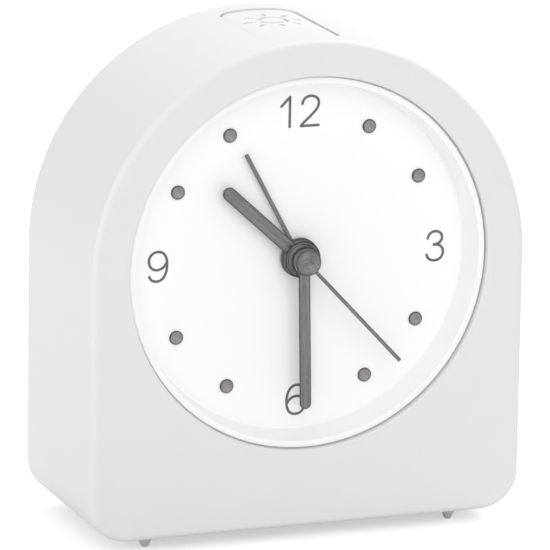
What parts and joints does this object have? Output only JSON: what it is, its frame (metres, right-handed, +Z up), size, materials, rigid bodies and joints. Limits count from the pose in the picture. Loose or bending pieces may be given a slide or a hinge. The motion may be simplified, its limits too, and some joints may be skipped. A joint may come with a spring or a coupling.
{
  "type": "night light alarm clock",
  "caption": "Arched bedside quartz alarm clock: round dial with hour, minute, second and alarm hands, top snooze and light button, rear setting knobs, slide switch and battery door",
  "frame": {"origin": "under the middle of the case, on the surface that the feet stand on", "axes": "+X to the right seen from the front, +Y from the dial to the back, +Z up"},
  "size_m": [0.09, 0.039, 0.0998],
  "materials": {
    "case_white": "satin moulded white plastic",
    "trim_white": "smooth white plastic",
    "dial_white": "matt white painted face",
    "clear_lens": "clear polished lens",
    "hand_grey": "dark grey brushed metal",
    "print_grey": "dark grey print",
    "foot_rubber": "pale grey rubber",
    "inner_plastic": "grey moulded plastic",
    "gear_plastic": "cream moulded plastic",
    "black_plastic": "black moulded plastic",
    "board_green": "green laminate",
    "steel": "bright steel",
    "brass": "plain brass",
    "copper_wire": "enamelled copper wire",
    "lead_red": "insulated lead",
    "cell_wrap": "plain dark blue wrap with a bare metal nub",
    "lamp_yellow": "pale phosphor"
  },
  "bodies": {
    "case": {"front_case": "case_white", "feet": "foot_rubber", "lens": "clear_lens", "dial_ring": "trim_white", "dial": "dial_white", "dial_numbers": "print_grey", "dial_dots": "hand_grey", "chassis": "inner_plastic", "button_springs": "steel", "button_board": "board_green", "push_switch": "black_plastic", "light_strip": "board_green", "night_lamps": "lamp_yellow", "movement_plate": "black_plastic", "movement_bridge": "inner_plastic", "movement_case": "black_plastic", "circuit_board": "board_green", "control_chip": "black_plastic", "quartz_crystal": "steel", "alarm_contact": "brass", "stator": "steel", "coil_bobbin": "inner_plastic", "coil_winding": "copper_wire", "rear_cover": "case_white", "aa_cell": "cell_wrap", "battery_plate": "steel", "battery_spring": "steel", "slide_switch": "black_plastic", "sounder_cup": "black_plastic", "sounder_disc": "brass", "battery_leads": "lead_red", "button_leads": "lead_red", "lamp_leads": "lead_red", "sounder_leads": "lead_red", "cover_screws": "steel", "chassis_screws": "steel", "plate_screws": "steel", "movement_screws": "steel"},
    "second": {"second_hand": "hand_grey", "second_wheel": "gear_plastic"},
    "intermediate": {"intermediate_wheel": "gear_plastic"},
    "rotor": {"rotor": "gear_plastic"},
    "third": {"third_wheel": "gear_plastic"},
    "centre": {"centre_wheel": "gear_plastic"},
    "minute": {"minute_hand": "hand_grey", "minute_pipe": "gear_plastic"},
    "minute_wheel": {"minute_wheel": "gear_plastic"},
    "hour": {"hour_hand": "hand_grey", "hour_wheel": "gear_plastic"},
    "time_set": {"time_set_arbor": "gear_plastic", "time_knob": "case_white"},
    "alarm": {"alarm_hand": "hand_grey", "alarm_wheel": "gear_plastic"},
    "alarm_set": {"alarm_set_arbor": "gear_plastic", "alarm_knob": "case_white"},
    "button": {"snooze_button": "case_white", "switch_plunger": "inner_plastic"},
    "slider": {"alarm_slider": "black_plastic"},
    "door": {"battery_door": "case_white"}
  },
  "joints": [
    {"name": "second_hand_turn", "type": "hinge", "parent": "case", "child": "second", "pos_m": [0, -0.0195, 0.05545], "axis": [0, 1, 0], "continuous": true},
    {"name": "intermediate_turn", "type": "hinge", "parent": "case", "child": "intermediate", "pos_m": [-0.00606, -0.0195, 0.05895], "axis": [0, 1, 0], "continuous": true},
    {"name": "rotor_turn", "type": "hinge", "parent": "case", "child": "rotor", "pos_m": [-0.0117, -0.0195, 0.0569], "axis": [0, 1, 0], "continuous": true},
    {"name": "third_turn", "type": "hinge", "parent": "case", "child": "third", "pos_m": [0.0045, -0.0195, 0.06324], "axis": [0, 1, 0], "continuous": true},
    {"name": "centre_turn", "type": "hinge", "parent": "case", "child": "centre", "pos_m": [0, -0.0195, 0.05545], "axis": [0, 1, 0], "continuous": true},
    {"name": "minute_hand_turn", "type": "hinge", "parent": "case", "child": "minute", "pos_m": [0, -0.0195, 0.05545], "axis": [0, 1, 0], "continuous": true},
    {"name": "minute_wheel_turn", "type": "hinge", "parent": "case", "child": "minute_wheel", "pos_m": [0.0042, -0.0195, 0.04818], "axis": [0, 1, 0], "continuous": true},
    {"name": "hour_hand_turn", "type": "hinge", "parent": "case", "child": "hour", "pos_m": [0, -0.0195, 0.05545], "axis": [0, 1, 0], "continuous": true},
    {"name": "time_knob_turn", "type": "hinge", "parent": "case", "child": "time_set", "pos_m": [0.01247, -0.0195, 0.04672], "axis": [0, 1, 0], "continuous": true},
    {"name": "alarm_hand_turn", "type": "hinge", "parent": "case", "child": "alarm", "pos_m": [0, -0.0195, 0.05545], "axis": [0, 1, 0], "continuous": true},
    {"name": "alarm_knob_turn", "type": "hinge", "parent": "case", "child": "alarm_set", "pos_m": [-0.00568, -0.0195, 0.04734], "axis": [0, 1, 0], "continuous": true},
    {"name": "button_press", "type": "slide", "parent": "case", "child": "button", "axis": [0, 0, -1], "range_m": [0, 0.001], "stiffness_N_per_m": 500, "springref_m": -0.001, "deforming": ["button_springs"]},
    {"name": "alarm_switch_slide", "type": "slide", "parent": "case", "child": "slider", "axis": [1, 0, 0], "range_m": [0, 0.003]},
    {"name": "battery_door_out", "type": "slide", "parent": "case", "child": "door", "axis": [0, 1, 0], "range_m": [0, 0.025]}
  ],
  "couplings": [
    {"joint": "intermediate_turn", "follows": "second_hand_turn", "ratio": -6},
    {"joint": "rotor_turn", "follows": "second_hand_turn", "ratio": 30},
    {"joint": "third_turn", "follows": "second_hand_turn", "ratio": -0.125},
    {"joint": "centre_turn", "follows": "second_hand_turn", "ratio": 0.016667},
    {"joint": "minute_wheel_turn", "follows": "minute_hand_turn", "ratio": -0.33333},
    {"joint": "hour_hand_turn", "follows": "minute_hand_turn", "ratio": 0.083333},
    {"joint": "time_knob_turn", "follows": "minute_hand_turn", "ratio": 1},
    {"joint": "alarm_knob_turn", "follows": "alarm_hand_turn", "ratio": -2.3}
  ]
}
